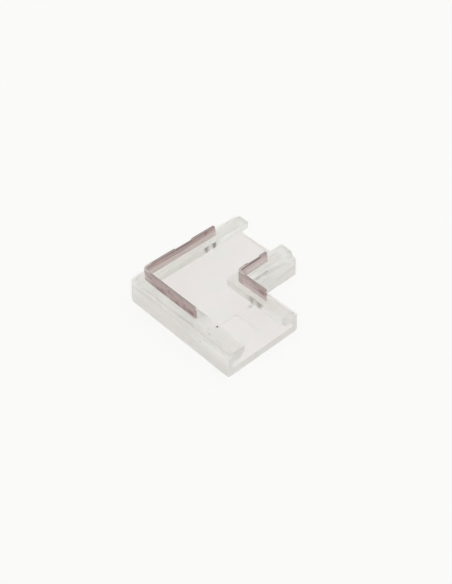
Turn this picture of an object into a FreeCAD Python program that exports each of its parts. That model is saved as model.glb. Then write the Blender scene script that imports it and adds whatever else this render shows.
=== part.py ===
import FreeCAD, Part
import math
import os

# Right-angle press connector for a 10 mm two-lane light strip, in millimetres.
# The origin lies on the underside, where the centre lines of the two strips cross.
# One strip enters along +X and the other along +Y, and +Z points up out of the channel.

# Housing: plan, at the underside
channel_width = 12.16
arm_length = 13.36
wall = 0.78
corner_radius = 1.35
notch_radius = 0.3
draft_angle = 2.0
rim_radius = 0.12
foot_radius = 0.3

# Housing: heights
base_thickness = 1.2
wall_height = 3.2
inner_wall_drop = 0.2
lip_underside = 2.05
lip_top = 3.87

# Lips over the strip
lip_tip = 3.2
lip_foot_inset = 0.73
lip_top_chamfer = 0.38
lip_under_chamfer = 0.8
lip_setback = 0.05
outer_tip_radius = 0.25
inner_tip_radius = 0.2

# Lead-in for the strip at each mouth
mouth_chamfer = 0.25

# Blank marking field on the floor of the X arm
field_start = 6.85
field_length = 4.45
field_width = 3.1
field_radius = 0.5
field_depth = 0.08

# Moulding gate mark beside the marking field
gate_x = 6.87
gate_y = -1.8
gate_radius = 0.16
gate_height = 0.08

# Contacts: flat metal strip on edge, bent to a right angle
outer_contact_offset = 4.4
inner_contact_offset = 4.23
contact_thickness = 0.3
contact_clearance = 0.03
contact_body_height = 2.0
bend_inner_radius = 0.5

# Reach of each contact's arms from the centre lines, at their lower edge
outer_contact_x_end = 5.78
outer_contact_y_end = 8.17
inner_contact_x_end = 9.55
inner_contact_y_end = 9.55

# Step and bevel at the top of each arm's end
end_step = 0.12
end_step_drop = 0.7
end_chamfer = 0.1

# Dip left in the top edge of the Y arm of each contact
dip_depth = 0.2
dip_ramp = 0.3
outer_dip_start = 0.95
outer_dip_end = 4.15
inner_dip_start = 6.0
inner_dip_end = 8.4

# Piercing teeth under the ends of each contact, and the heel behind the last one
tooth_length = 1.35
tooth_root = 0.9
tooth_tip = 0.12
tooth_pitch = 1.44
last_tooth_inset = 0.7
heel_drop = 0.2

# Pressing stroke, the slot in the lip and the pockets in the floor that it needs
press_stroke = 1.2
seat_gap = 0.05
slot_web = 0.2
slot_lead_in = 0.06
end_gap = 0.1
tooth_clearance = 0.4
pocket_width = 1.4
pocket_margin = 0.15

# Worked out from the sizes above
half_channel = channel_width / 2.0
inner_wall_height = wall_height - inner_wall_drop
mouth_end = arm_length - lip_setback
slot_floor = lip_underside + slot_web
contact_bottom = slot_floor + seat_gap + press_stroke
contact_top = contact_bottom + contact_body_height
pocket_floor = contact_bottom - tooth_length - press_stroke - tooth_clearance
slot_half = contact_thickness / 2.0 + contact_clearance
bend_outer_radius = bend_inner_radius + contact_thickness

# How far a cutting shape stands out of what it cuts, and how close two places must be to be one
overshoot = 0.4
same_place = 1e-6


def box(x0, x1, y0, y1, z0, z1):
    """Box between two corners."""
    return Part.makeBox(x1 - x0, y1 - y0, z1 - z0, FreeCAD.Vector(x0, y0, z0))


def extruded(corners, direction):
    """Solid swept from a flat outline, given by its corners, along a vector."""
    points = [FreeCAD.Vector(*corner) for corner in corners]
    return Part.Face(Part.makePolygon(points + points[:1])).extrude(direction)


def swapped(shape):
    """The same shape with its X and Y arms exchanged."""
    return shape.mirror(FreeCAD.Vector(0, 0, 0), FreeCAD.Vector(1, -1, 0))


def near(a, b):
    """Whether two coordinates are one place."""
    return abs(a - b) < same_place


def edge_ends(edge):
    """End points of an edge."""
    return [vertex.Point for vertex in edge.Vertexes]


def bent_outline(inner, outer, x_end, y_end, z, inner_radius=0.0, outer_radius=0.0):
    """Closed plan outline of a right-angle band between two offsets, with its two bends rounded."""
    ends = [(x_end, inner), (x_end, outer), (outer, y_end), (inner, y_end)]
    far = [FreeCAD.Vector(x, y, z) for x, y in ends]
    edges = [Part.makeLine(far[0], far[1]), Part.makeLine(far[2], far[3])]
    runs = ((inner, inner_radius, far[0], far[3]), (outer, outer_radius, far[1], far[2]))
    for offset, radius, x_run_end, y_run_end in runs:
        x_start = FreeCAD.Vector(offset + radius, offset, z)
        y_start = FreeCAD.Vector(offset, offset + radius, z)
        edges += [Part.makeLine(x_start, x_run_end), Part.makeLine(y_start, y_run_end)]
        if radius > 0:
            middle = offset + radius - radius / math.sqrt(2.0)
            edges.append(Part.Arc(x_start, FreeCAD.Vector(middle, middle, z), y_start).toShape())
    return Part.Wire(Part.__sortEdges__(edges))


def bent_band(inner, outer, x_end, y_end, z0, z1, inner_radius=0.0, outer_radius=0.0):
    """Upright right-angle band between two offsets from the centre lines."""
    outline = bent_outline(inner, outer, x_end, y_end, z0, inner_radius, outer_radius)
    return Part.Face(outline).extrude(FreeCAD.Vector(0, 0, z1 - z0))


def edges_along(shape, offset, z):
    """Edges at one height that follow one offset along both arms and round the bend."""
    return [edge for edge in shape.Edges
            if all(near(p.z, z) and (near(p.x, offset) or near(p.y, offset)) for p in edge_ends(edge))]


def point_edges(shape, limit):
    """Edges over the diagonal at the point of the inner lip, short of a limit."""
    return [edge for edge in shape.Edges
            if all(near(p.x, p.y) and p.x < limit for p in edge_ends(edge))]


def outer_lip():
    """Raised lip on the outside of the bend, reaching in over the strip."""
    foot = lip_foot_inset - half_channel
    lip = bent_band(foot, -lip_tip, mouth_end, mouth_end, lip_underside, lip_top,
                    corner_radius - lip_foot_inset, outer_tip_radius)
    lip = lip.makeChamfer(lip_top_chamfer, edges_along(lip, foot, lip_top))
    return lip.makeChamfer(lip_under_chamfer, edges_along(lip, -lip_tip, lip_underside))


def inner_lip():
    """Raised lip round the notch; its point is rounded after the bevel under it is cut."""
    foot = half_channel - lip_foot_inset
    lip = bent_band(lip_tip, foot, mouth_end, mouth_end, lip_underside, lip_top,
                    0.0, notch_radius + lip_foot_inset)
    lip = lip.makeChamfer(lip_top_chamfer, edges_along(lip, foot, lip_top))
    lip = lip.makeChamfer(lip_under_chamfer, edges_along(lip, lip_tip, lip_underside))
    return lip.makeFillet(inner_tip_radius, point_edges(lip, (lip_tip + foot) / 2.0))


def half_at(z):
    """Half the width of the housing at a height, between walls that lean in by the draft."""
    return half_channel - z * math.tan(math.radians(draft_angle))


def block():
    """Right-angle block with drafted sides, rounded feet and rounded rims, before the channel is cut."""
    outlines = [bent_outline(-half_at(z), half_at(z), arm_length, arm_length, z, corner_radius, notch_radius)
                for z in (0.0, wall_height)]
    shape = Part.makeLoft(outlines, True, True)
    feet = edges_along(shape, -half_channel, 0.0) + edges_along(shape, half_channel, 0.0)
    shape = shape.makeFillet(foot_radius, feet)
    shape = shape.makeFillet(rim_radius, edges_along(shape, -half_at(wall_height), wall_height))
    low_side = bent_band(0.0, half_channel + overshoot, arm_length + overshoot, arm_length + overshoot,
                         inner_wall_height, wall_height + overshoot)
    shape = shape.cut(low_side)
    return shape.makeFillet(rim_radius, edges_along(shape, half_at(inner_wall_height), inner_wall_height))


def channel():
    """Room between the walls, above the floor plate."""
    side = half_channel - wall
    return bent_band(-side, side, arm_length + overshoot, arm_length + overshoot,
                     base_thickness, wall_height + overshoot, corner_radius - wall, notch_radius + wall)


def mouth_bevel():
    """Lead-in bevel across the floor between the walls, at the X arm's mouth."""
    side = wall - half_channel
    return extruded([(arm_length, side, base_thickness),
                     (arm_length, side, base_thickness - mouth_chamfer),
                     (arm_length - mouth_chamfer, side, base_thickness)],
                    FreeCAD.Vector(0, -2 * side, 0))


def contact_offset(side):
    """Distance of a contact's middle from the centre lines: outer for side -1, inner for side 1."""
    return -outer_contact_offset if side < 0 else inner_contact_offset


def contact_ends(side):
    """Ends of a contact's X arm and Y arm, at their longer lower edge."""
    if side < 0:
        return outer_contact_x_end, outer_contact_y_end
    return inner_contact_x_end, inner_contact_y_end


def tooth_centres(end):
    """Distances along an arm at which its two teeth stand."""
    last = end - last_tooth_inset
    return [last - tooth_pitch, last]


def teeth_and_heel(end, offset):
    """Tapered teeth under the X arm of a contact, with the heel between the last and the arm's end."""
    side = offset - contact_thickness / 2.0
    low = contact_bottom - tooth_length
    solids = []
    for centre in tooth_centres(end):
        solids.append(extruded([(centre - tooth_root / 2.0, side, contact_bottom),
                                (centre - tooth_tip / 2.0, side, low),
                                (centre + tooth_tip / 2.0, side, low),
                                (centre + tooth_root / 2.0, side, contact_bottom)],
                               FreeCAD.Vector(0, contact_thickness, 0)))
    solids.append(box(tooth_centres(end)[-1], end, side, side + contact_thickness,
                      contact_bottom - heel_drop, contact_bottom))
    return solids


def end_cut(end, offset):
    """What is cut from the top of the X arm's end: a short step and a bevelled corner."""
    low = contact_top - end_step_drop
    high = contact_top + overshoot
    step = end - end_step
    side = offset - contact_thickness
    return extruded([(end + overshoot, side, low),
                     (step, side, low),
                     (step, side, contact_top - end_chamfer),
                     (step - end_chamfer, side, contact_top),
                     (step - end_chamfer, side, high),
                     (end + overshoot, side, high)],
                    FreeCAD.Vector(0, 2 * contact_thickness, 0))


def dip(start, end, offset):
    """Shallow notch with sloped ends in the top edge of the Y arm of a contact."""
    side = offset - contact_thickness
    low = contact_top - dip_depth
    return extruded([(side, start, contact_top),
                     (side, start + dip_ramp, low),
                     (side, end - dip_ramp, low),
                     (side, end, contact_top)],
                    FreeCAD.Vector(2 * contact_thickness, 0, 0))


def contact(side):
    """One bent contact: outer for side -1, inner for side 1."""
    offset = contact_offset(side)
    x_end, y_end = contact_ends(side)
    half = contact_thickness / 2.0
    body = bent_band(offset - half, offset + half, x_end, y_end, contact_bottom, contact_top,
                     bend_outer_radius, bend_inner_radius)
    body = body.fuse(teeth_and_heel(x_end, offset) + [swapped(s) for s in teeth_and_heel(y_end, offset)])
    body = body.cut([end_cut(x_end, offset), swapped(end_cut(y_end, offset))])
    if side < 0:
        body = body.cut(dip(outer_dip_start, outer_dip_end, offset))
    else:
        body = body.cut(dip(inner_dip_start, inner_dip_end, offset))
    return body.removeSplitter()


def slot_outline(side, z, growth):
    """Plan outline of the slot round a contact, grown evenly by an amount."""
    offset = contact_offset(side)
    half = slot_half + growth
    x_end, y_end = [end + end_gap + growth for end in contact_ends(side)]
    outer_radius = bend_outer_radius + contact_clearance + growth
    inner_radius = max(bend_inner_radius - contact_clearance - growth, 0.0)
    return bent_outline(offset - half, offset + half, x_end, y_end, z, outer_radius, inner_radius)


def contact_slot(side):
    """Blind slot in a lip that guides a contact's body, with a bevelled lead-in at the top."""
    slot = Part.Face(slot_outline(side, slot_floor, 0.0)).extrude(FreeCAD.Vector(0, 0, lip_top - slot_floor))
    lead_in = Part.makeLoft([slot_outline(side, lip_top - slot_lead_in, 0.0),
                             slot_outline(side, lip_top, slot_lead_in)], True, True)
    return slot.fuse(lead_in)


def tooth_room(side):
    """Windows through the slot's floor and pockets in the base, for the teeth and heels when pressed."""
    offset = contact_offset(side)
    half_pocket = pocket_width / 2.0
    rooms = []
    for number, end in enumerate(contact_ends(side)):
        start = tooth_centres(end)[0] - tooth_root / 2.0 - pocket_margin
        window = box(start, end + end_gap, offset - slot_half, offset + slot_half,
                     lip_underside - overshoot, slot_floor + overshoot)
        pocket = box(start, end + end_gap, offset - half_pocket, offset + half_pocket,
                     pocket_floor, base_thickness + overshoot)
        on_y_arm = number == 1
        rooms += [swapped(room) if on_y_arm else room for room in (window, pocket)]
    return rooms


def marking_field():
    """Shallow blank field with rounded corners, sunk in the floor of the X arm."""
    half = field_width / 2.0
    plate = box(field_start, field_start + field_length, -half, half,
                base_thickness - field_depth, base_thickness + overshoot)
    uprights = [edge for edge in plate.Edges if not near(*[p.z for p in edge_ends(edge)])]
    return plate.makeFillet(field_radius, uprights)


def gate_mark():
    """Low round stub left on the floor where the plastic was let in."""
    stub = Part.makeCylinder(gate_radius, gate_height + overshoot)
    stub.translate(FreeCAD.Vector(gate_x, gate_y, base_thickness - overshoot))
    return stub


def housing():
    """The moulded channel in one piece."""
    body = block().cut(channel()).fuse([outer_lip(), inner_lip()])
    cuts = [mouth_bevel(), swapped(mouth_bevel()), marking_field()]
    for side in (-1, 1):
        cuts.append(contact_slot(side))
        cuts += tooth_room(side)
    return body.cut(cuts).fuse(gate_mark()).removeSplitter()


def main():
    os.makedirs("parts", exist_ok=True)
    pieces = {"housing": housing(), "outer_contact": contact(-1), "inner_contact": contact(1)}
    for name, shape in pieces.items():
        solid = shape.Solids[0]
        solid.exportStep("parts/" + name + ".step")
        print(name, "solids", len(shape.Solids), "valid", solid.isValid(),
              "volume", round(solid.Volume, 3), "faces", len(solid.Faces))


main()
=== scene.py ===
"""Looks of a right-angle press connector for light strip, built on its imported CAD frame.

The pieces are modelled in millimetres with the origin on the underside, where the centre lines of
the two strips cross, and are brought to metres when they are finished.
"""

import logging
import math
from collections.abc import Callable, Iterator
from contextlib import contextmanager
from dataclasses import dataclass
from enum import Enum

import bmesh
import bpy
from mathutils import Matrix, Vector


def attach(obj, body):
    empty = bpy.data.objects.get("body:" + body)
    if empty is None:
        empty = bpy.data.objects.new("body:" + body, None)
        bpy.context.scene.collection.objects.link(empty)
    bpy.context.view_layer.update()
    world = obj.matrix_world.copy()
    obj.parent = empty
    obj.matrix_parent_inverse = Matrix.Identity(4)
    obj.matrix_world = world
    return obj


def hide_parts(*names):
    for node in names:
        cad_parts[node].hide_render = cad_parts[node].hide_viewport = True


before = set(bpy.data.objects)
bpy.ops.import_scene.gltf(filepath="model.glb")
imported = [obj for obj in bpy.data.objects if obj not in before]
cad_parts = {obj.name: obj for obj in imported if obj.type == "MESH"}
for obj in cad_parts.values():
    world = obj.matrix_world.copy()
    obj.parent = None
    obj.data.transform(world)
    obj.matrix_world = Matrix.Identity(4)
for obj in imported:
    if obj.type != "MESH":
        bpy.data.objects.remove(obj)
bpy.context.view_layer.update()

log = logging.getLogger("connector")

Point = tuple[float, float, float]
Colour = tuple[float, float, float]
Socket = bpy.types.NodeSocket
Value = Socket | float
# What feeds a node's inputs, by their names or numbers.
Inputs = dict[str | int, object]
EdgeTest = Callable[[list[Vector]], bool]
FaceTest = Callable[[Vector, Vector], bool]
PointTest = Callable[[Vector], bool]

# Where a mask comes on, from its start to its end.
Zone = tuple[float, float]
# Where a mask comes on and where it goes off again, each from its start to its end.
Window = tuple[float, float, float, float]

MILLIMETRE = 0.001
# Millimetres within which two places count as one.
CLOSE = 1e-3
# Millimetres within which corners are merged.
WELD = 2e-4
# Least part of its normal along an axis for a face to look that way.
FACING = 0.9
# Millimetres that a cutter reaches past the face where it enters.
OVERSHOOT = 0.4
# The same for cutters that clear the whole end or top of a piece.
WIDE_OVERSHOOT = 1.0
# Millimetres that a block reaches into the piece that it is joined to.
JOIN_OVERLAP = 0.2

# How far light is followed through the many inner faces of the clear plastic.
LIGHT_PATHS = {"max_bounces": 40, "glossy_bounces": 16, "transmission_bounces": 24,
               "blur_glossy": 0.0}


class Side(Enum):
    """Which side of the bend a contact or a lip runs on."""

    OUTER = -1
    INNER = 1


class Joining(Enum):
    """How one shape acts on another."""

    CUT = "DIFFERENCE"
    ADD = "UNION"


@dataclass(frozen=True)
class Band:
    """Upright band that turns a right angle, its sides at two offsets, in millimetres."""

    low_offset: float
    high_offset: float
    x_end: float
    y_end: float
    bottom: float
    top: float
    low_radius: float = 0.0
    high_radius: float = 0.0
    segments: int = 8


def clear_selection() -> None:
    """Leave no object selected."""
    bpy.ops.object.select_all(action="DESELECT")


def is_upright(ends: list[Vector]) -> bool:
    """Whether an edge runs up and down."""
    return abs(ends[0].z - ends[1].z) > CLOSE


class Workpiece:
    """A mesh under way, in millimetres, shaped with Blender's modelling operators."""

    def __init__(self, name: str, low: Point, high: Point) -> None:
        """Start from a block between two corners.

        Args:
            name: Name of the object.
            low: Lowest corner.
            high: Highest corner.
        """
        clear_selection()
        middle = [(a + b) / 2.0 for a, b in zip(low, high)]
        size = [b - a for a, b in zip(low, high)]
        bpy.ops.mesh.primitive_cube_add(size=1.0, location=middle, scale=size)
        self.take_over(name)

    def take_over(self, name: str) -> None:
        """Make the primitive that was just added this workpiece."""
        self.object = bpy.context.active_object
        self.object.name = name
        bpy.ops.object.transform_apply(location=True, rotation=True, scale=True)

    @classmethod
    def from_band(cls, name: str, band: Band) -> "Workpiece":
        """Draw a corner block out along both arms and round its two upright corners.

        Args:
            name: Name of the object.
            band: The band's plan and heights.

        Returns:
            The band as a workpiece.
        """
        near, far = band.low_offset, band.high_offset
        piece = cls(name, (near, near, band.bottom), (far, far, band.top))
        piece.extrude(lambda centre, normal: normal.x > FACING, (band.x_end - far, 0.0, 0.0))
        piece.extrude(lambda centre, normal: normal.y > FACING and centre.x < far,
                      (0.0, band.y_end - far, 0.0))
        piece.merge_flat_faces()
        piece.round_corner(near, band.low_radius, band.segments)
        piece.round_corner(far, band.high_radius, band.segments)
        return piece

    @classmethod
    def rod(cls, name: str, foot: Point, radius: float, height: float, sides: int) -> "Workpiece":
        """Start from an upright round bar.

        Args:
            name: Name of the object.
            foot: Middle of the lower end.
            radius: Radius of the bar.
            height: Height of the bar.
            sides: Number of sides of the round.

        Returns:
            The bar as a workpiece.
        """
        clear_selection()
        middle = (foot[0], foot[1], foot[2] + height / 2.0)
        bpy.ops.mesh.primitive_cylinder_add(vertices=sides, radius=radius, depth=height,
                                            location=middle)
        piece = cls.__new__(cls)
        piece.take_over(name)
        return piece

    def activate(self) -> None:
        """Select this object alone."""
        clear_selection()
        self.object.select_set(True)
        bpy.context.view_layer.objects.active = self.object

    @contextmanager
    def editing(self, kind: str) -> Iterator[bmesh.types.BMesh]:
        """Open the mesh in edit mode with nothing selected.

        Args:
            kind: What is picked, VERT, EDGE or FACE.

        Yields:
            The mesh, for picking its parts.
        """
        self.activate()
        bpy.ops.object.mode_set(mode="EDIT")
        bpy.ops.mesh.select_mode(type=kind)
        bpy.ops.mesh.select_all(action="DESELECT")
        mesh = bmesh.from_edit_mesh(self.object.data)
        try:
            yield mesh
        finally:
            bpy.ops.object.mode_set(mode="OBJECT")

    def show_picked(self, mesh: bmesh.types.BMesh) -> None:
        """Pass what was picked in the mesh on to the operators."""
        mesh.select_flush_mode()
        bmesh.update_edit_mesh(self.object.data)

    def extrude(self, wanted: FaceTest, move: Point) -> None:
        """Draw out the faces that pass a test, given their centre and normal.

        Args:
            wanted: The test.
            move: How far the faces go.
        """
        with self.editing("FACE") as mesh:
            for face in mesh.faces:
                face.select_set(wanted(face.calc_center_median(), face.normal))
            self.show_picked(mesh)
            bpy.ops.mesh.extrude_region_move(TRANSFORM_OT_translate={"value": move})

    def shift(self, wanted: PointTest, move: Point) -> None:
        """Move the corners whose place passes a test.

        Args:
            wanted: The test.
            move: How far the corners go.
        """
        with self.editing("VERT") as mesh:
            for vertex in mesh.verts:
                vertex.select_set(wanted(vertex.co))
            self.show_picked(mesh)
            bpy.ops.transform.translate(value=move)

    def bevel(self, wanted: EdgeTest, width: float, segments: int = 1) -> None:
        """Bevel or round the edges whose two ends pass a test.

        Args:
            wanted: The test.
            width: Distance of the bevel's sides from the edge.
            segments: Number of flats across the bevel.
        """
        with self.editing("EDGE") as mesh:
            for edge in mesh.edges:
                if wanted([vertex.co.copy() for vertex in edge.verts]):
                    edge.select_set(True)
            self.show_picked(mesh)
            if any(edge.select for edge in mesh.edges):
                bpy.ops.mesh.bevel(offset=width, segments=segments, affect="EDGES",
                                   clamp_overlap=False)

    def round_corner(self, place: float, radius: float, segments: int, reach: float = 0.2) -> None:
        """Round the upright edge that stands over the diagonal.

        Args:
            place: Offset of the edge on both axes.
            radius: Radius of the round, or nothing for a sharp corner.
            segments: Number of flats across the round.
            reach: How far the edge may stand from its place, because of the draft.
        """
        if radius > 0.0:
            self.bevel(lambda ends: is_upright(ends) and all(
                abs(p.x - p.y) < CLOSE and abs(p.x - place) < reach for p in ends),
                radius, segments)

    def merge_flat_faces(self, angle: float = 0.05) -> None:
        """Join faces that lie in one plane, within an angle in degrees."""
        with self.editing("FACE"):
            bpy.ops.mesh.select_all(action="SELECT")
            bpy.ops.mesh.dissolve_limited(angle_limit=math.radians(angle))

    def modify(self, name: str, kind: str, **settings: object) -> None:
        """Apply a modifier with its settings.

        Args:
            name: Name of the modifier.
            kind: Blender's name of its type.
            settings: Its properties.
        """
        change = self.object.modifiers.new(name, kind)
        for label, value in settings.items():
            setattr(change, label, value)
        bpy.ops.object.modifier_apply(modifier=change.name)

    def join(self, other: "Workpiece", joining: Joining) -> None:
        """Cut another workpiece out of this one or add it on, and use it up.

        Args:
            other: The other workpiece.
            joining: How it acts on this one.
        """
        self.activate()
        self.modify(joining.name, "BOOLEAN", operation=joining.value, solver="EXACT",
                    object=other.object)
        bpy.data.objects.remove(other.object)

    def soften(self, width: float, segments: int, angle: float) -> None:
        """Break every edge that is sharper than an angle in degrees.

        Args:
            width: Width of the bevel.
            segments: Number of flats across it.
            angle: The angle.
        """
        self.activate()
        self.modify("soft_edges", "BEVEL", width=width, segments=segments, limit_method="ANGLE",
                    angle_limit=math.radians(angle), miter_outer="MITER_ARC",
                    use_clamp_overlap=True)

    def settle_shading(self, smooth_angle: float, flat_weight: int = 100) -> None:
        """Shade narrow curved faces as one and keep the broad faces flat."""
        bpy.ops.object.shade_smooth_by_angle(angle=math.radians(smooth_angle))
        self.modify("flat_faces", "WEIGHTED_NORMAL", weight=flat_weight, keep_sharp=True)

    def finish(self, smooth_angle: float = 35.0) -> bpy.types.Object:
        """Clean the mesh, bring it to metres and smooth its curved faces.

        Args:
            smooth_angle: Largest angle in degrees between faces that shade as one.

        Returns:
            The finished object, at the origin and unscaled.
        """
        with self.editing("FACE"):
            bpy.ops.mesh.select_all(action="SELECT")
            bpy.ops.mesh.remove_doubles(threshold=WELD)
            bpy.ops.mesh.normals_make_consistent(inside=False)
        self.activate()
        self.object.scale = (MILLIMETRE,) * 3
        bpy.ops.object.transform_apply(location=True, rotation=True, scale=True)
        self.settle_shading(smooth_angle)
        return self.object


@dataclass(frozen=True)
class ContactPlan:
    """Where one bent contact runs, and the dip in the top of its Y arm, in millimetres."""

    side: Side
    offset: float
    x_end: float
    y_end: float
    dip_start: float
    dip_end: float


OUTER_PLAN = ContactPlan(Side.OUTER, -4.4, 5.78, 8.17, 0.95, 4.15)
INNER_PLAN = ContactPlan(Side.INNER, 4.23, 9.55, 9.55, 6.0, 8.4)
CONTACT_BOTTOM = 3.5
CONTACT_TOP = 5.5
CONTACT_THICKNESS = 0.3
BEND_INNER_RADIUS = 0.5
BEND_OUTER_RADIUS = BEND_INNER_RADIUS + CONTACT_THICKNESS
LAST_TOOTH_INSET = 0.7
TOOTH_PITCH = 1.44
TOOTH_ROOT = 0.9


def place_on_arm(low: Point, high: Point, on_y_arm: bool) -> tuple[Point, Point]:
    """Corners of a block on the X arm, or of its twin on the Y arm.

    Args:
        low: Lowest corner on the X arm.
        high: Highest corner on the X arm.
        on_y_arm: Whether the block stands on the Y arm instead.

    Returns:
        The two corners where the block stands.
    """
    if not on_y_arm:
        return low, high
    return (low[1], low[0], low[2]), (high[1], high[0], high[2])


@dataclass
class Housing:
    """Clear moulded channel in one piece, in millimetres and degrees."""

    half_width: float = 6.08
    arm_length: float = 13.36
    wall: float = 0.78
    corner_radius: float = 1.35
    notch_radius: float = 0.3
    draft: float = 2.0
    rim_radius: float = 0.12
    rim_reach: float = 0.6
    foot_radius: float = 0.3
    base: float = 1.2
    wall_height: float = 3.2
    inner_wall_height: float = 3.0
    lip_underside: float = 2.05
    lip_top: float = 3.87
    lip_tip: float = 3.2
    lip_foot_inset: float = 0.73
    lip_top_bevel: float = 0.38
    lip_top_reach: float = 0.35
    lip_under_bevel: float = 0.8
    lip_under_reach: float = 0.12
    lip_end: float = 13.31
    outer_tip_radius: float = 0.25
    inner_tip_radius: float = 0.2
    mouth_bevel: float = 0.25
    slot_floor: float = 2.25
    slot_half: float = 0.18
    slot_lead_in: float = 0.06
    end_gap: float = 0.1
    pocket_floor: float = 0.55
    pocket_half: float = 0.7
    pocket_margin: float = 0.15
    field_start: float = 6.85
    field_end: float = 11.3
    field_half: float = 1.55
    field_depth: float = 0.08
    field_corner: float = 0.5
    gate_place: tuple[float, float] = (6.87, -1.8)
    gate_radius: float = 0.16
    gate_root: float = 0.3
    gate_length: float = 0.38
    corner_segments: int = 14
    channel_segments: int = 12
    lip_segments: int = 10
    notch_segments: int = 8
    inner_tip_segments: int = 6
    foot_segments: int = 5
    rim_segments: int = 4
    gate_sides: int = 24
    contacts: tuple[ContactPlan, ...] = (OUTER_PLAN, INNER_PLAN)

    def lean(self, height: float) -> float:
        """How far the drafted sides have leaned in at a height."""
        return height * math.tan(math.radians(self.draft))

    def at_mouth(self, ends: list[Vector]) -> bool:
        """Whether an edge lies in the end face of an arm."""
        return any(all(abs(p[axis] - self.arm_length) < CLOSE for p in ends) for axis in (0, 1))

    def block(self) -> Workpiece:
        """Right-angle block with drafted sides, rounded feet and rounded rims.

        Returns:
            The block before the channel is cut.
        """
        half, end, top, low = (self.half_width, self.arm_length, self.wall_height,
                               self.inner_wall_height)
        piece = Workpiece.from_band("housing_shell", Band(-half, half, end, end, 0.0, top))
        for axis in (0, 1):
            for way in (-1, 1):
                move = [0.0, 0.0, 0.0]
                move[axis] = -way * self.lean(top)
                piece.shift(lambda p: p.z > top - CLOSE and abs(p[axis] - way * half) < CLOSE,
                            tuple(move))
        piece.round_corner(-half, self.corner_radius, self.corner_segments)
        piece.round_corner(half, self.notch_radius, self.notch_segments)
        piece.bevel(lambda ends: all(p.z < CLOSE for p in ends)
                    and not self.at_mouth(ends), self.foot_radius, self.foot_segments)
        piece.bevel(lambda ends: all(
            p.z > top - CLOSE and min(p.x, p.y) < self.rim_reach - half for p in ends),
            self.rim_radius, self.rim_segments)
        past = end + WIDE_OVERSHOOT
        piece.join(Workpiece.from_band("low_side", Band(0.0, half + WIDE_OVERSHOOT, past, past, low,
                                                        top + WIDE_OVERSHOOT)), Joining.CUT)
        rim = half - self.lean(low)
        piece.bevel(lambda ends: all(
            abs(p.z - low) < CLOSE and min(p.x, p.y) > rim - CLOSE for p in ends),
            self.rim_radius, self.rim_segments)
        return piece

    def channel(self) -> Workpiece:
        """Room between the walls, above the floor plate.

        Returns:
            The cutter for it.
        """
        side, past = self.half_width - self.wall, self.arm_length + OVERSHOOT
        return Workpiece.from_band("channel", Band(
            -side, side, past, past, self.base, self.wall_height + WIDE_OVERSHOOT,
            self.corner_radius - self.wall, self.notch_radius + self.wall, self.channel_segments))

    def lip(self, side: Side) -> Workpiece:
        """Raised lip over one edge of the strips.

        Args:
            side: Side of the bend.

        Returns:
            The lip with its bevels, before the slot is cut.
        """
        foot, tip, end = self.half_width - self.lip_foot_inset, self.lip_tip, self.lip_end
        if side is Side.OUTER:
            band = Band(-foot, -tip, end, end, self.lip_underside, self.lip_top,
                        self.corner_radius - self.lip_foot_inset, self.outer_tip_radius,
                        self.lip_segments)
        else:
            band = Band(tip, foot, end, end, self.lip_underside, self.lip_top,
                        0.0, self.notch_radius + self.lip_foot_inset, self.channel_segments)
        piece = Workpiece.from_band("lip_" + side.name.lower(), band)

        def along(offset: float, height: float, reach: float) -> EdgeTest:
            """Test for the edges at an offset and a height, within a reach at the bend.

            Args:
                offset: Offset of the edges.
                height: Their height.
                reach: How far they may stand off at the bend.

            Returns:
                The test.
            """

            def wanted(ends: list[Vector]) -> bool:
                """Whether an edge runs there and not across an end of the lip.

                Args:
                    ends: Ends of the edge.

                Returns:
                    Whether it is picked.
                """
                runs_there = all(abs(p.z - height) < CLOSE
                                 and abs(min(p.x, p.y) - offset) < reach for p in ends)
                across_end = any(all(abs(p[axis] - end) < CLOSE for p in ends) for axis in (0, 1))
                return runs_there and not across_end

            return wanted

        piece.bevel(along(side.value * foot, self.lip_top, self.lip_top_reach), self.lip_top_bevel)
        piece.bevel(along(side.value * tip, self.lip_underside, self.lip_under_reach),
                    self.lip_under_bevel)
        if side is Side.INNER:
            limit = (tip + foot) / 2.0
            piece.bevel(lambda ends: all(
                abs(p.x - p.y) < CLOSE and p.x < limit for p in ends),
                self.inner_tip_radius, self.inner_tip_segments)
        return piece

    def slots(self) -> list[Workpiece]:
        """Slots in the lips, each followed by its wider lead-in.

        Returns:
            The cutters, in order.
        """
        cutters = []
        for plan in self.contacts:
            for lead, bottom in ((0.0, self.slot_floor),
                                 (self.slot_lead_in, self.lip_top - self.slot_lead_in)):
                half, gap = self.slot_half + lead, self.end_gap + lead
                play = half - CONTACT_THICKNESS / 2.0
                cutter = Workpiece.from_band("slot", Band(
                    plan.offset - half, plan.offset + half, plan.x_end + gap, plan.y_end + gap,
                    bottom, self.lip_top + OVERSHOOT, BEND_OUTER_RADIUS + play,
                    BEND_INNER_RADIUS - play, self.lip_segments))
                if lead:
                    cutter.bevel(lambda ends: all(abs(p.z - bottom) < CLOSE for p in ends),
                                 lead)
                cutters.append(cutter)
        return cutters

    def tooth_rooms(self) -> list[Workpiece]:
        """Windows under the slots and pockets in the floor plate.

        Returns:
            The cutters for them.
        """
        rooms = []
        sections = ((self.slot_half, self.lip_underside - OVERSHOOT, self.slot_floor + OVERSHOOT),
                    (self.pocket_half, self.pocket_floor, self.base + OVERSHOOT))
        for plan in self.contacts:
            for end, on_y_arm in ((plan.x_end, False), (plan.y_end, True)):
                first_tooth = end - LAST_TOOTH_INSET - TOOTH_PITCH
                start = first_tooth - TOOTH_ROOT / 2.0 - self.pocket_margin
                for half, low, high in sections:
                    rooms.append(Workpiece("room", *place_on_arm(
                        (start, plan.offset - half, low),
                        (end + self.end_gap, plan.offset + half, high), on_y_arm)))
        return rooms

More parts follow.
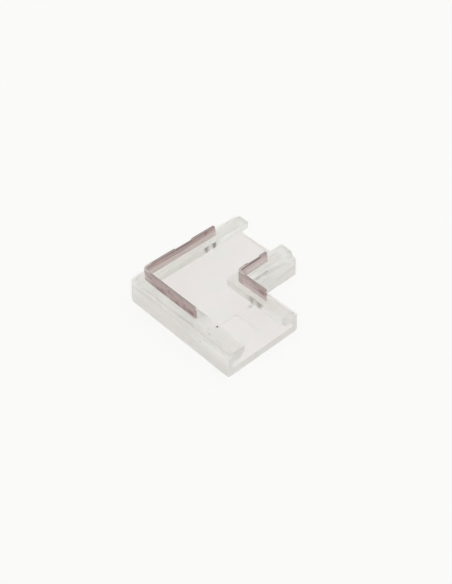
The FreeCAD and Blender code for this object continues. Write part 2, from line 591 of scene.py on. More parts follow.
    def marking_field(self) -> Workpiece:
        """Shallow blank field with rounded corners in the floor of the X arm.

        Returns:
            The cutter for it.
        """
        low, high = self.base - self.field_depth, self.base + OVERSHOOT
        piece = Workpiece("field", (self.field_start, -self.field_half, low),
                          (self.field_end, self.field_half, high))
        piece.bevel(lambda ends: is_upright(ends), self.field_corner, self.notch_segments)
        return piece

    def gate(self) -> Workpiece:
        """Round stub beside the field, where the plastic was fed in."""
        return Workpiece.rod("gate", (*self.gate_place, self.base - self.gate_root),
                             self.gate_radius, self.gate_length, self.gate_sides)

    def build(self) -> bpy.types.Object:
        """Model the whole moulding.

        Returns:
            The finished object, in metres.
        """
        piece = self.block()
        piece.join(self.channel(), Joining.CUT)
        piece.bevel(lambda ends: all(abs(p.z - self.base) < CLOSE for p in ends)
                    and self.at_mouth(ends), self.mouth_bevel)
        for side in Side:
            piece.join(self.lip(side), Joining.ADD)
        for cutter in [*self.slots(), *self.tooth_rooms(), self.marking_field()]:
            piece.join(cutter, Joining.CUT)
        piece.join(self.gate(), Joining.ADD)
        return piece.finish()


@dataclass
class Contact:
    """Flat metal strip on edge, bent to a right angle, with piercing teeth under its ends."""

    plan: ContactPlan
    bottom: float = CONTACT_BOTTOM
    top: float = CONTACT_TOP
    end_step: float = 0.12
    end_step_drop: float = 0.7
    end_bevel: float = 0.1
    dip_depth: float = 0.2
    dip_ramp: float = 0.3
    tooth_length: float = 1.35
    tooth_tip: float = 0.12
    heel_drop: float = 0.2
    bend_segments: int = 12
    edge_width: float = 0.02
    edge_segments: int = 2
    edge_angle: float = 30.0

    @property
    def name(self) -> str:
        """Name of the contact."""
        return self.plan.side.name.lower() + "_contact"

    def tooth(self, centre: float, on_y_arm: bool) -> Workpiece:
        """One tapered tooth under an arm.

        Args:
            centre: Distance of the tooth along the arm.
            on_y_arm: Whether it stands under the Y arm.

        Returns:
            The tooth, reaching a little into the strip above it.
        """
        half, offset = CONTACT_THICKNESS / 2.0, self.plan.offset
        low, high = self.bottom - self.tooth_length, self.bottom
        piece = Workpiece("tooth", *place_on_arm(
            (centre - TOOTH_ROOT / 2.0, offset - half, low),
            (centre + TOOTH_ROOT / 2.0, offset + half, high), on_y_arm))
        axis = 1 if on_y_arm else 0
        for way in (-1, 1):
            move = [0.0, 0.0, 0.0]
            move[axis] = -way * (TOOTH_ROOT - self.tooth_tip) / 2.0
            piece.shift(lambda p: p.z < low + CLOSE and (p[axis] - centre) * way > 0.0,
                        tuple(move))
        piece.extrude(lambda middle, normal: normal.z > FACING, (0.0, 0.0, JOIN_OVERLAP))
        return piece

    def add_end(self, piece: Workpiece, end: float, on_y_arm: bool) -> None:
        """Give one end of the strip its teeth, heel, step and bevel.

        Args:
            piece: The bent strip.
            end: Distance of the end along its arm.
            on_y_arm: Whether it is the end of the Y arm.
        """
        half, offset = CONTACT_THICKNESS / 2.0, self.plan.offset
        last, stop = end - LAST_TOOTH_INSET, end - self.end_step
        for centre in (last - TOOTH_PITCH, last):
            piece.join(self.tooth(centre, on_y_arm), Joining.ADD)
        heel = place_on_arm((last, offset - half, self.bottom - self.heel_drop),
                            (end, offset + half, self.bottom + JOIN_OVERLAP), on_y_arm)
        piece.join(Workpiece("heel", *heel), Joining.ADD)
        step = place_on_arm((stop, offset - WIDE_OVERSHOOT, self.top - self.end_step_drop),
                            (end + WIDE_OVERSHOOT, offset + WIDE_OVERSHOOT,
                             self.top + WIDE_OVERSHOOT), on_y_arm)
        piece.join(Workpiece("step", *step), Joining.CUT)
        axis = 1 if on_y_arm else 0
        piece.bevel(lambda ends: all(
            abs(p.z - self.top) < CLOSE and abs(p[axis] - stop) < CLOSE for p in ends),
            self.end_bevel)

    def dip(self) -> Workpiece:
        """Cutter for the long shallow dip in the top edge of the Y arm.

        Returns:
            The cutter.
        """
        plan = self.plan
        piece = Workpiece("dip", *place_on_arm(
            (plan.dip_start, plan.offset - WIDE_OVERSHOOT, self.top - self.dip_depth),
            (plan.dip_end, plan.offset + WIDE_OVERSHOOT, self.top), True))
        for way, middle in ((1, plan.dip_start), (-1, plan.dip_end)):
            piece.shift(lambda p: p.z < self.top - CLOSE and abs(p.y - middle) < CLOSE,
                        (0.0, way * self.dip_ramp, 0.0))
        piece.extrude(lambda middle, normal: normal.z > FACING, (0.0, 0.0, OVERSHOOT))
        return piece

    def build(self) -> bpy.types.Object:
        """Model the whole contact.

        Returns:
            The finished object, in metres.
        """
        plan, half = self.plan, CONTACT_THICKNESS / 2.0
        piece = Workpiece.from_band(self.name + "_strip", Band(
            plan.offset - half, plan.offset + half, plan.x_end, plan.y_end, self.bottom, self.top,
            BEND_OUTER_RADIUS, BEND_INNER_RADIUS, self.bend_segments))
        self.add_end(piece, plan.x_end, False)
        self.add_end(piece, plan.y_end, True)
        piece.join(self.dip(), Joining.CUT)
        piece.merge_flat_faces()
        piece.soften(self.edge_width, self.edge_segments, self.edge_angle)
        return piece.finish()


class Nodes:
    """Helper that lays out and links shader nodes in one tree."""

    # Places of the colour sockets on a Mix node.
    MIX_SHARE, MIX_FIRST, MIX_SECOND, MIX_RESULT = 0, 6, 7, 2

    def __init__(self, tree: bpy.types.NodeTree) -> None:
        """Empty a node tree to work in."""
        self.tree = tree
        tree.nodes.clear()

    def link(self, source: Socket, target: Socket) -> None:
        """Feed one socket into another."""
        self.tree.links.new(source, target)

    def add(self, kind: str, inputs: Inputs | None = None, **values: object) -> bpy.types.Node:
        """Add a node, set its plain properties and feed its inputs.

        Args:
            kind: Blender's name of the node type.
            inputs: Sockets and plain values for the node's inputs.
            values: Properties of the node.

        Returns:
            The new node.
        """
        node = self.tree.nodes.new(kind)
        for name, value in values.items():
            setattr(node, name, value)
        for name, value in (inputs or {}).items():
            if isinstance(value, Socket):
                self.link(value, node.inputs[name])
            else:
                node.inputs[name].default_value = value
        return node

    def surface(self, kind: str, inputs: Inputs) -> None:
        """Put a shader with its inputs on the surface."""
        self.add("ShaderNodeOutputMaterial", {"Surface": self.add(kind, inputs).outputs[0]})

    def reckon(self, operation: str, *values: Value) -> Socket:
        """Result of a sum, named as in Blender, on numbers and sockets."""
        return self.add("ShaderNodeMath", dict(enumerate(values)), operation=operation).outputs[0]

    def times(self, first: Value, *others: Value) -> Socket:
        """Product of all the values."""
        for other in others:
            first = self.reckon("MULTIPLY", first, other)
        return first

    def most(self, first: Value, *others: Value) -> Socket:
        """Largest of all the values."""
        for other in others:
            first = self.reckon("MAXIMUM", first, other)
        return first

    def without(self, mask: Socket) -> Socket:
        """Mask of all that another mask leaves out."""
        return self.reckon("SUBTRACT", 1.0, mask)

    def ramp(self, value: Value, low: Value, high: Value, start: float = 0.0,
             end: float = 1.0) -> Socket:
        """Smooth rise from a start to an end value, as a value goes from low to high."""
        return self.add("ShaderNodeMapRange", dict(enumerate((value, low, high, start, end))),
                        interpolation_type="SMOOTHSTEP").outputs[0]

    def fall(self, value: Value, low: float, high: float) -> Socket:
        """Smooth fall from one to nothing between two limits."""
        return self.ramp(value, low, high, 1.0, 0.0)

    def choose(self, mask: Value, off: float, on: float) -> Socket:
        """Number that goes from one value to another where a mask comes on."""
        return self.ramp(mask, 0.0, 1.0, off, on)

    def window(self, value: Value, limits: Window) -> Socket:
        """Mask that comes on and goes off again within its limits."""
        return self.times(self.ramp(value, *limits[:2]), self.fall(value, *limits[2:]))

    def between(self, value: Value, low: float, high: float, fade: float) -> Socket:
        """Mask that is whole between two limits and fades out beyond them."""
        return self.window(value, (low - fade, low, high, high + fade))

    def blend(self, share: Value, below: Socket | Colour, above: Socket | Colour) -> Socket:
        """Colour between two colours.

        Args:
            share: Share of the second colour.
            below: First colour.
            above: Second colour.

        Returns:
            The socket with the colour.
        """
        first, second = (colour if isinstance(colour, Socket) else (*colour, 1.0)
                         for colour in (below, above))
        inputs = {self.MIX_SHARE: share, self.MIX_FIRST: first, self.MIX_SECOND: second}
        return self.add("ShaderNodeMix", inputs, data_type="RGBA").outputs[self.MIX_RESULT]

    def place(self) -> tuple[Socket, ...]:
        """Object coordinates: all three together, then each by itself, in millimetres.

        Returns:
            The four sockets.
        """
        local = self.add("ShaderNodeTexCoord").outputs["Object"]
        place = self.add("ShaderNodeVectorMath", {0: local, "Scale": 1.0 / MILLIMETRE},
                         operation="SCALE").outputs[0]
        return (place, *self.split(place))

    def split(self, vector: Socket) -> tuple[Socket, ...]:
        """The three parts of a vector."""
        return tuple(self.add("ShaderNodeSeparateXYZ", {0: vector}).outputs)

    def shared(self, tree: bpy.types.NodeTree, **values: Value) -> Socket:
        """What a shared effect puts out for a value or socket on each named input."""
        return self.add("ShaderNodeGroup", values, node_tree=tree).outputs[0]

    def bump(self, height: Socket, strength: float, depth: float) -> Socket:
        """Normal of a surface with a relief, its whole depth in millimetres."""
        return self.add("ShaderNodeBump", {"Strength": strength, "Distance": depth * MILLIMETRE,
                                           "Height": height}).outputs["Normal"]


class Effects:
    """Effects that both finishes use, as shader node groups on places in millimetres."""

    streak_detail = 3.0
    blotch_detail = 4.0
    # Noise level where blotches begin with no cover, how far full cover lowers it, and their fade.
    bare_level = 0.75
    cover_drop = 0.5
    blotch_fade = 0.2

    def __init__(self) -> None:
        """Build each group once."""
        self.streaks = self.lengthwise_streaks()
        self.blotches = self.soft_blotches()

    @staticmethod
    def group(name: str, inputs: dict[str, str], output: str) -> tuple[Nodes, dict[str, Socket],
                                                                       Socket]:
        """Empty group with named sockets.

        Args:
            name: Name of the group.
            inputs: Kind of each named input.
            output: Name of the number that it puts out.

        Returns:
            The group's helper, its named inputs, and the socket for what comes out.
        """
        tree = bpy.data.node_groups.new(name, "ShaderNodeTree")
        for label, kind in inputs.items():
            tree.interface.new_socket(name=label, in_out="INPUT",
                                      socket_type="NodeSocket" + kind)
        tree.interface.new_socket(name=output, in_out="OUTPUT", socket_type="NodeSocketFloat")
        nodes = Nodes(tree)
        given, result = nodes.add("NodeGroupInput"), nodes.add("NodeGroupOutput")
        return nodes, {label: given.outputs[label] for label in inputs}, result.inputs[output]

    def lengthwise_streaks(self) -> bpy.types.NodeTree:
        """Fine streaks that follow each arm and turn with it at the bend.

        Returns:
            The group.
        """
        nodes, given, height = self.group(
            "lengthwise_streaks", {"Place": "Vector", "Width": "Float", "Length": "Float"},
            "Height")
        x, y, z = nodes.split(given["Place"])
        along = nodes.reckon("DIVIDE", nodes.most(x, y), given["Length"])
        across = nodes.reckon("DIVIDE", nodes.reckon("MINIMUM", x, y), given["Width"])
        rise = nodes.reckon("DIVIDE", z, given["Width"])
        join = nodes.add("ShaderNodeCombineXYZ", {0: along, 1: across, 2: rise})
        noise = nodes.add("ShaderNodeTexNoise", {"Scale": 1.0, "Detail": self.streak_detail,
                                                 "Vector": join.outputs[0]})
        nodes.link(noise.outputs["Fac"], height)
        return nodes.tree

    def soft_blotches(self) -> bpy.types.NodeTree:
        """Soft uneven blotches.

        Returns:
            The group.
        """
        nodes, given, mask = self.group(
            "soft_blotches", {"Place": "Vector", "Size": "Float", "Cover": "Float"}, "Mask")
        noise = nodes.add("ShaderNodeTexNoise", {
            "Scale": nodes.reckon("DIVIDE", 1.0, given["Size"]), "Detail": self.blotch_detail,
            "Vector": given["Place"]})
        drop = nodes.times(given["Cover"], self.cover_drop)
        low = nodes.reckon("SUBTRACT", self.bare_level, drop)
        high = nodes.reckon("ADD", low, self.blotch_fade)
        nodes.link(nodes.ramp(noise.outputs["Fac"], low, high), mask)
        return nodes.tree


def new_material(name: str) -> tuple[bpy.types.Material, Nodes]:
    """Start a material: it and the helper for its empty node tree."""
    material = bpy.data.materials.new(name)
    material.use_nodes = True
    return material, Nodes(material.node_tree)


@dataclass(frozen=True)
class Speck:
    """Small round mark in the plastic, in millimetres."""

    centre: Point
    radius: float
    tint: Colour


class PlasticPlaces:
    """Where a point of the plastic lies, in millimetres and as masks."""

    def __init__(self, nodes: Nodes, plastic: "ClearPlastic") -> None:
        """Work out the places and masks.

        Args:
            nodes: Where the nodes go.
            plastic: The finish, with the limits of its zones.
        """
        self.place, x, y, self.height = nodes.place()
        offset = nodes.reckon("MINIMUM", x, y)
        self.sideways, self.along = nodes.reckon("ABSOLUTE", offset), nodes.most(x, y)
        self.raised = nodes.most(nodes.ramp(self.height, *plastic.raised_heights),
                                 nodes.ramp(self.sideways, *plastic.wall_offsets))
        self.at_end = nodes.ramp(self.along, *plastic.end_run)
        self.inside_ends = nodes.without(self.at_end)
        self.on_y_arm = nodes.ramp(nodes.reckon("SUBTRACT", y, x), *plastic.y_arm_lead)
        self.on_inner_y = nodes.times(nodes.reckon("GREATER_THAN", offset, 0.0), self.on_y_arm)


@dataclass(frozen=True)
class ClearPlastic:
    """Clear plastic as moulded, with clouding, flow lines along the arms and three specks.

    The floor, and the lips' sides beside the teeth, are the smoothest. Walls, lips and ends are
    duller. The slots' inner faces are polished, so that the teeth show through the lips. Painted
    shade darkens the raised parts of the Y arm, the inner top edge of the outer wall and the step
    round the marking field. Offsets are from the centre line of an arm, runs are along an arm and
    heights are from the underside, all in millimetres.
    """

    floor_tint: Colour = (0.893, 0.855, 0.852)
    lip_tint: Colour = (0.93, 0.93, 0.908)
    foot_tint: Colour = (0.908, 0.888, 0.848)
    # Colour of the clouding, also used as painted shade on the raised parts of the Y arm.
    cloud_and_shade_tint: Colour = (0.848, 0.866, 0.84)
    # Colour of the flow lines, and of the painted shade along the outer wall's inner top edge and
    # the field's step.
    line_and_edge_shade_tint: Colour = (0.74, 0.72, 0.70)
    ior: float = 1.47
    clarity: float = 0.97
    roughness: float = 0.31
    raised_roughness: float = 0.38
    streak_roughness: float = 0.03
    slot_polish: float = 0.2
    bump_strength: float = 0.03
    bump_depth: float = 0.03

    raised_heights: Zone = (1.25, 1.9)
    wall_offsets: Zone = (5.2, 5.5)
    lip_heights: Zone = (1.8, 2.0)
    end_run: Zone = (13.0, 13.25)
    y_arm_lead: Zone = (0.0, 3.0)
    teeth_offsets: Zone = (4.7, 4.9)
    teeth_heights: Zone = (3.6, 3.75)
    teeth_run: Window = (4.6, 5.4, 9.7, 10.3)
    pocket_heights: Window = (0.3, 0.5, 1.05, 1.12)
    slot_offsets: Window = (3.9, 4.0, 4.65, 4.75)
    slot_heights: Window = (1.9, 2.0, 3.6, 3.75)

    cloud_share: float = 0.85
    # Painted shade: how far the raised parts of the Y arm are darkened toward the cloud colour.
    y_arm_painted_shade: float = 0.3
    streak_levels: Zone = (0.3, 0.8)
    floor_streaks: float = 0.12
    line_levels: Zone = (0.54, 0.6)
    line_share: float = 0.3
    inner_y_line_share: float = 1.0
    dash_levels: Zone = (0.6, 0.64)
    dash_share: float = 0.85
    # Painted shade line along the inner top edge of the outer wall.
    edge_shade_offsets: Window = (5.27, 5.31, 5.39, 5.43)
    edge_shade_heights: Window = (3.08, 3.12, 3.28, 3.32)
    edge_shade_share: float = 0.5
    # Painted shade on the step walls round the marking field.
    field_offsets: Zone = (1.65, 1.75)
    field_edge_shade_heights: Window = (1.125, 1.14, 1.17, 1.185)
    field_edge_shade_share: float = 0.7
    specks: tuple[Speck, ...] = (Speck((8.79, -3.57, 3.87), 0.13, (0.02, 0.02, 0.02)),
                                 Speck((9.03, -5.09, 3.75), 0.09, (0.5, 0.47, 0.46)),
                                 Speck((8.25, -5.99, 2.46), 0.08, (0.3, 0.28, 0.27)))
    speck_fade: float = 0.03

    def lines(self, nodes: Nodes, effects: Effects, at: PlasticPlaces, shown: Socket) -> Socket:
        """Mask of the fine darker lines in the plastic and of painted shade lines along edges.

        Args:
            nodes: Where the nodes go.
            effects: The shared effects.
            at: Where a point lies.
            shown: How far the flow of the plastic shows.

        Returns:
            The socket with the mask.
        """
        lines = nodes.shared(effects.streaks, Place=at.place, Width=0.2, Length=8.0)
        lines = nodes.times(nodes.ramp(lines, *self.line_levels),
                            nodes.choose(at.on_inner_y, self.line_share, self.inner_y_line_share))
        dashes = nodes.shared(effects.streaks, Place=at.place, Width=0.13, Length=1.3)
        dashes = nodes.ramp(dashes, *self.dash_levels, 0.0, self.dash_share)
        # Painted shade along the inner top edge of the outer wall.
        corner = nodes.times(nodes.window(at.sideways, self.edge_shade_offsets),
                             nodes.window(at.height, self.edge_shade_heights), self.edge_shade_share)
        # Painted shade on the step walls round the marking field.
        field_edge_shade = nodes.times(nodes.window(at.height, self.field_edge_shade_heights),
                                 nodes.fall(at.sideways, *self.field_offsets),
                                 at.inside_ends, self.field_edge_shade_share)
        return nodes.most(nodes.times(nodes.most(lines, dashes, corner), shown), field_edge_shade)

    def tint(self, nodes: Nodes, effects: Effects, at: PlasticPlaces, lines: Socket) -> Socket:
        """Colour of the plastic with its clouding, lines, specks and painted shade.

        Args:
            nodes: Where the nodes go.
            effects: The shared effects.
            at: Where a point lies.
            lines: Mask of the fine lines.

        Returns:
            The socket with the colour.
        """
        raised_tint = nodes.blend(nodes.ramp(at.height, *self.lip_heights), self.foot_tint,
                                  self.lip_tint)
        tint = nodes.blend(nodes.most(at.raised, at.at_end), self.floor_tint, raised_tint)
        cloud = nodes.shared(effects.blotches, Place=at.place, Size=3.2, Cover=0.55)
        # Clouding, and painted shade on the raised parts of the Y arm.
        cloud_and_y_arm_shade = nodes.most(nodes.times(cloud, self.cloud_share),
                          nodes.times(at.on_y_arm, at.raised, self.y_arm_painted_shade))
        tint = nodes.blend(cloud_and_y_arm_shade, tint, self.cloud_and_shade_tint)
        tint = nodes.blend(lines, tint, self.line_and_edge_shade_tint)
        for speck in self.specks:
            reach = nodes.add("ShaderNodeVectorMath", {0: at.place, 1: speck.centre},
                              operation="DISTANCE").outputs["Value"]
            mark = nodes.fall(reach, speck.radius, speck.radius + self.speck_fade)
            tint = nodes.blend(mark, tint, speck.tint)
        return tint

    def dullness(self, nodes: Nodes, at: PlasticPlaces, streaks: Socket) -> Socket:
        """Roughness of the plastic.

        Args:
            nodes: Where the nodes go.
            at: Where a point lies.
            streaks: Height of the broad flow streaks.

        Returns:
            The socket with the roughness.
        """
        beside_teeth = nodes.times(nodes.fall(at.sideways, *self.teeth_offsets),
                                   nodes.fall(at.height, *self.teeth_heights),
                                   nodes.window(at.along, self.teeth_run))
        frosted = nodes.most(nodes.times(at.raised, nodes.without(beside_teeth)), at.at_end,
                             nodes.window(at.height, self.pocket_heights))
        dullness = nodes.choose(frosted, self.roughness, self.raised_roughness)
        unevenness = nodes.ramp(streaks, *self.streak_levels, -self.streak_roughness,
                                self.streak_roughness)
        in_slot = nodes.times(nodes.window(at.sideways, self.slot_offsets),
                              nodes.window(at.height, self.slot_heights), at.inside_ends)
        return nodes.times(nodes.reckon("ADD", dullness, unevenness),
                           nodes.choose(in_slot, 1.0, self.slot_polish))

    def material(self, effects: Effects) -> bpy.types.Material:
        """Build the finish.

        Args:
            effects: The shared effects.

        Returns:
            The material.
        """
        material, nodes = new_material("clear_plastic")
        at = PlasticPlaces(nodes, self)
        shown = nodes.times(at.inside_ends, nodes.choose(at.raised, self.floor_streaks, 1.0))
        streaks = nodes.shared(effects.streaks, Place=at.place, Width=0.55, Length=14.0)
        streaks = nodes.times(streaks, shown)
        lines = self.lines(nodes, effects, at, shown)
        nodes.surface("ShaderNodeBsdfPrincipled", {
            "Base Color": self.tint(nodes, effects, at, lines),
            "Roughness": self.dullness(nodes, at, streaks), "IOR": self.ior,
            "Transmission Weight": self.clarity,
            "Normal": nodes.bump(streaks, self.bump_strength, self.bump_depth)})
        return material


@dataclass(frozen=True)
class TinnedMetal:
    """Tinned strip with a dull rolled grain, stained near its ends and dark on its cut top edge.

    The dark line along the top, the black in the dips and the darker inner bend are painted shade,
    and the lighter top edge at the bends is a painted highlight. Depths are from the contacts' top
    edge. A lead is how much further along X than along Y a point lies, so it is nothing at the
    bends. All are in millimetres.
    """

    tin: Colour = (0.74, 0.655, 0.645)
    # Warm tone of the strip, also used for the painted shade at the inner bend.
    warm_and_bend_shade: Colour = (0.43, 0.32, 0.32)
    # Colour of the stains and dark bands, also used for the painted shade along the top.
    stain_and_top_shade: Colour = (0.20, 0.07, 0.07)
    edge: Colour = (0.40, 0.345, 0.325)
    # Painted highlight on the top edge at the bends.
    bend_highlight: Colour = (0.62, 0.56, 0.53)
    # Painted shade in the dips of the top edge and at the inner bend.
    dip_shade: Colour = (0.16, 0.10, 0.10)
    tooth: Colour = (0.30, 0.26, 0.25)
    bottom: float = CONTACT_BOTTOM
    top: float = CONTACT_TOP

    grain_levels: Zone = (0.25, 0.8)
    grain_roughness: Zone = (0.26, 0.48)
    bump_strength: float = 0.5
    bump_depth: float = 0.02

    band_levels: Zone = (0.5, 0.68)
    band_share: float = 0.22
    patch_warmth: Zone = (0.6, 1.0)
    warm_rise: Zone = (1.4, 1.95)
    warm_lead: Zone = (0.5, 3.0)
    inner_warmth: float = 0.7
    bend_lead: Zone = (0.9, 1.7)
    # Painted shade: how far the inner bend is darkened toward the warm colour.
    inner_bend_painted_shade: float = 0.45
    upward: Zone = (0.35, 0.75)
    tooth_fade: float = 0.3

    # Painted shade along the top of the strip, stronger on the Y arm.
    top_shade_depths: Zone = (0.2, 0.1)
    top_shade_fade: float = 0.12
    top_shade_lead: Zone = (-1.0, 0.0)
    top_shade_shares: Zone = (0.42, 0.2)
    stain_inset: float = 0.75
    stain_depths: tuple[float, float] = (1.2, 0.75)
    stain_scale: Point = (1.9, 1.0, 0.8)
    stain_reach: Zone = (0.15, 0.6)
    stain_share: float = 0.55

    # Painted shade on the top edge in the dips and at the inner bend.
    dip_shade_across: Window = (0.05, 0.1, 0.6, 0.65)
    dip_shade_depths: Zone = (0.28, 0.18)
    dip_shade_fade: float = 0.04
    outer_dip_shade_inset: float = 0.2
    outer_dip_shade_fade: float = 0.15
    outer_dip_shade_share: float = 0.75
    inner_dip_shade_start: float = 4.8
    inner_dip_shade_fade: float = 0.3

    def painted_dip_shade(self, nodes: Nodes, x: Socket, y: Socket, z: Socket, inner: Socket) -> Socket:
        """Mask of painted shade, blackening the top edge in each contact's dip and at the inner
        bend.

        Args:
            nodes: Where the nodes go.
            x: Place along X.
            y: Place along Y.
            z: Height.
            inner: Mask of the inner contact.

        Returns:
            The socket with the mask.
        """
        middle = nodes.choose(inner, OUTER_PLAN.offset, INNER_PLAN.offset)
        on_face = nodes.window(nodes.reckon("SUBTRACT", x, middle), self.dip_shade_across)
        outer_run = nodes.between(y, OUTER_PLAN.dip_start + self.outer_dip_shade_inset,
                                  OUTER_PLAN.dip_end - self.outer_dip_shade_inset,
                                  self.outer_dip_shade_fade)
        inner_run = nodes.between(y, self.inner_dip_shade_start,
                                  INNER_PLAN.dip_end - self.inner_dip_shade_fade,
                                  self.inner_dip_shade_fade)
        run = nodes.most(nodes.times(outer_run, nodes.choose(inner, self.outer_dip_shade_share, 0.0)),
                         nodes.times(inner_run, inner))
        low, high = (self.top - depth for depth in self.dip_shade_depths)
        return nodes.times(run, on_face, nodes.between(z, low, high, self.dip_shade_fade))

    def end_stains(self, nodes: Nodes, place: Socket) -> Socket:
        """Mask of the dark stains, one near the end of each X arm.

        Args:
            nodes: Where the nodes go.
            place: Place in millimetres.

        Returns:
            The socket with the mask.
        """
        marks = []
        for plan, depth in zip((OUTER_PLAN, INNER_PLAN), self.stain_depths):
            centre = (plan.x_end - self.stain_inset, plan.offset, self.top - depth)
            reach = nodes.add("ShaderNodeMapping", {"Vector": place, "Location": centre,
                                                    "Scale": self.stain_scale},
                              vector_type="TEXTURE").outputs[0]
            span = nodes.add("ShaderNodeVectorMath", {0: reach}, operation="LENGTH")
            marks.append(nodes.ramp(span.outputs["Value"], *self.stain_reach, self.stain_share,
                                    0.0))
        return nodes.most(*marks)

    def darkness(self, nodes: Nodes, z: Socket, lead: Socket, bands: Socket,
                 stains: Socket) -> Socket:
        """Mask of the painted shade along the top, the dark bands and the stains.

        Args:
            nodes: Where the nodes go.
            z: Height.
            lead: How much further along X than along Y a point lies.
            bands: Height of the broad bands.
            stains: Mask of the stains near the ends.

        Returns:
            The socket with the mask.
        """
        low, high = (self.top - depth for depth in self.top_shade_depths)
        line = nodes.times(nodes.between(z, low, high, self.top_shade_fade),
                           nodes.ramp(lead, *self.top_shade_lead, *self.top_shade_shares))
        banded = nodes.times(nodes.ramp(bands, *self.band_levels), self.band_share)
        return nodes.most(line, banded, stains)

    def material(self, effects: Effects) -> bpy.types.Material:
        """Build the finish.

        Args:
            effects: The shared effects.

        Returns:
            The material.
        """
        material, nodes = new_material("contact_metal")
        place, x, y, z = nodes.place()
        grain = nodes.shared(effects.streaks, Place=place, Width=0.07, Length=0.9)
        bands = nodes.shared(effects.streaks, Place=place, Width=0.35, Length=5.0)
        patch = nodes.shared(effects.blotches, Place=place, Size=1.1, Cover=0.55)
        lead = nodes.reckon("SUBTRACT", x, y)
        inner = nodes.reckon("GREATER_THAN", nodes.reckon("MINIMUM", x, y), 0.0)
        at_bend = nodes.fall(nodes.reckon("ABSOLUTE", lead), *self.bend_lead)

        low, high = (self.bottom + rise for rise in self.warm_rise)
        near_top = nodes.ramp(nodes.reckon("ADD", z, bands), low, high)
        on_x_arm = nodes.times(nodes.ramp(lead, *self.warm_lead), nodes.without(inner))
        warmth_and_bend_shade = nodes.times(nodes.most(near_top, on_x_arm),
                             nodes.choose(patch, *self.patch_warmth),
                             nodes.choose(inner, 1.0, self.inner_warmth))
        # Painted shade that darkens the inner bend.
        warmth_and_bend_shade = nodes.most(warmth_and_bend_shade, nodes.times(at_bend, inner, self.inner_bend_painted_shade))
        colour = nodes.blend(warmth_and_bend_shade, self.tin, self.warm_and_bend_shade)

        # Stains and bands, and painted shade along the top.
        dark = self.darkness(nodes, z, lead, bands, self.end_stains(nodes, place))
        colour = nodes.blend(dark, colour, self.stain_and_top_shade)
        on_teeth = nodes.fall(z, self.bottom - self.tooth_fade, self.bottom)
        colour = nodes.blend(on_teeth, colour, self.tooth)
        # Top faces take the darker cut-edge colour, with a painted highlight at the bends.
        facing_up = nodes.split(nodes.add("ShaderNodeTexCoord").outputs["Normal"])[2]
        colour = nodes.blend(nodes.ramp(facing_up, *self.upward), colour,
                             nodes.blend(at_bend, self.edge, self.bend_highlight))
        # Painted shade in the dips.
        colour = nodes.blend(self.painted_dip_shade(nodes, x, y, z, inner), colour, self.dip_shade)

        nodes.surface("ShaderNodeBsdfPrincipled", {
            "Base Color": colour, "Metallic": 1.0,
            "Roughness": nodes.ramp(grain, *self.grain_levels, *self.grain_roughness),
            "Normal": nodes.bump(grain, self.bump_strength, self.bump_depth)})
        return material


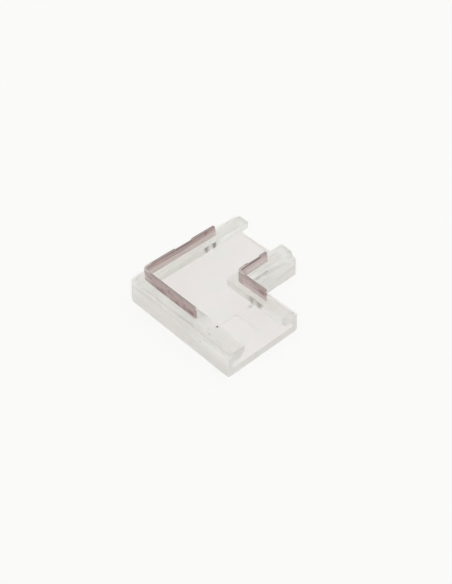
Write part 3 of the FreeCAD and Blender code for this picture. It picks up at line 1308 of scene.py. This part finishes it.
@dataclass
class Studio:
    """Pale floor, soft light and the camera, in metres and degrees."""

    floor_size: float = 4.0
    floor_drop: float = 0.00003
    floor_colour: Colour = (0.95, 0.95, 0.935)
    floor_seen: Colour = (0.956, 0.956, 0.94)
    floor_evenness: float = 0.86
    lamp_size: float = 0.5
    lamp_height: float = 0.45
    lamp_energy: float = 0.05
    surround_low: float = 0.8
    surround_high: float = 1.1
    surround_tilt: float = 0.2
    target: Point = (0.001987, 0.00425, 0.0)
    azimuth: float = 47.091
    elevation: float = 43.533
    roll: float = -0.211
    distance: float = 0.136785
    lens: float = 63.06
    clip_start: float = 0.01
    clip_end: float = 10.0

    def floor_material(self) -> bpy.types.Material:
        """Pale floor that keeps the shadow and is seen at an even level.

        Returns:
            The material.
        """
        material, nodes = new_material("pale_floor")
        lit = nodes.add("ShaderNodeBsdfDiffuse", {"Color": (*self.floor_colour, 1.0)})
        seen = nodes.add("ShaderNodeEmission", {"Color": (*self.floor_seen, 1.0)})
        paths = nodes.add("ShaderNodeLightPath").outputs
        rays = ("Is Camera Ray", "Is Glossy Ray", "Is Transmission Ray")
        looked_at = nodes.most(*(paths[ray] for ray in rays))
        nodes.surface("ShaderNodeMixShader", {0: nodes.times(looked_at, self.floor_evenness),
                                              1: lit.outputs[0], 2: seen.outputs[0]})
        return material

    def floor(self) -> None:
        """Wide pale floor under the object."""
        clear_selection()
        bpy.ops.mesh.primitive_plane_add(size=self.floor_size,
                                         location=(0.0, 0.0, -self.floor_drop))
        plane = bpy.context.active_object
        plane.name = "floor"
        plane.data.materials.append(self.floor_material())

    def lights(self) -> None:
        """One wide soft lamp overhead and a pale surround, brighter above and toward +X."""
        lamp = bpy.data.lights.new("overhead", "AREA")
        lamp.shape = "SQUARE"
        lamp.size = self.lamp_size
        lamp.energy = self.lamp_energy
        holder = bpy.data.objects.new("overhead", lamp)
        holder.location = (0.0, 0.0, self.lamp_height)
        bpy.context.scene.collection.objects.link(holder)
        world = bpy.data.worlds.new("surround")
        bpy.context.scene.world = world
        world.use_nodes = True
        nodes = Nodes(world.node_tree)
        east, _, up = nodes.split(nodes.add("ShaderNodeTexCoord").outputs["Generated"])
        rise = nodes.add("ShaderNodeMapRange", {"Value": up, "To Min": self.surround_low,
                                                "To Max": self.surround_high}).outputs["Result"]
        strength = nodes.reckon("MULTIPLY_ADD", east, self.surround_tilt, rise)
        back = nodes.add("ShaderNodeBackground", {"Color": (1.0, 1.0, 1.0, 1.0),
                                                  "Strength": strength})
        nodes.add("ShaderNodeOutputWorld", {"Surface": back.outputs[0]})

    def camera(self) -> None:
        """Camera at the viewing angle of the photograph."""
        az, el, turn = (math.radians(a) for a in (self.azimuth, self.elevation, self.roll))
        back = Vector((math.sin(az) * math.cos(el), -math.cos(az) * math.cos(el), math.sin(el)))
        level = Vector((0.0, 0.0, 1.0)).cross(back).normalized()
        upright = back.cross(level)
        right = math.cos(turn) * level + math.sin(turn) * upright
        up = math.cos(turn) * upright - math.sin(turn) * level
        data = bpy.data.cameras.new("view")
        data.lens = self.lens
        data.clip_start = self.clip_start
        data.clip_end = self.clip_end
        holder = bpy.data.objects.new("view", data)
        place = Matrix.Translation(Vector(self.target) + back * self.distance)
        holder.matrix_world = place @ Matrix((right, up, back)).transposed().to_4x4()
        bpy.context.scene.collection.objects.link(holder)
        bpy.context.scene.camera = holder


def main() -> None:
    """Build the studio and the three pieces, and dress them."""
    logging.basicConfig(level=logging.INFO, format="%(message)s")
    for name, limit in LIGHT_PATHS.items():
        setattr(bpy.context.scene.cycles, name, limit)
    bpy.context.scene.view_settings.view_transform = "Standard"
    studio = Studio()
    studio.floor()
    studio.lights()
    studio.camera()
    effects = Effects()
    plastic = ClearPlastic().material(effects)
    metal = TinnedMetal().material(effects)
    shell = Housing().build()
    shell.data.materials.clear()
    shell.data.materials.append(plastic)
    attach(shell, "channel")
    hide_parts("housing")
    log.info("%s: %d faces", shell.name, len(shell.data.polygons))
    for plan, body in ((OUTER_PLAN, "outer_blade"), (INNER_PLAN, "inner_blade")):
        contact = Contact(plan)
        strip = contact.build()
        strip.data.materials.clear()
        strip.data.materials.append(metal)
        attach(strip, body)
        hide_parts(contact.name)
        log.info("%s: %d faces", strip.name, len(strip.data.polygons))


if __name__ == "__main__":
    main()
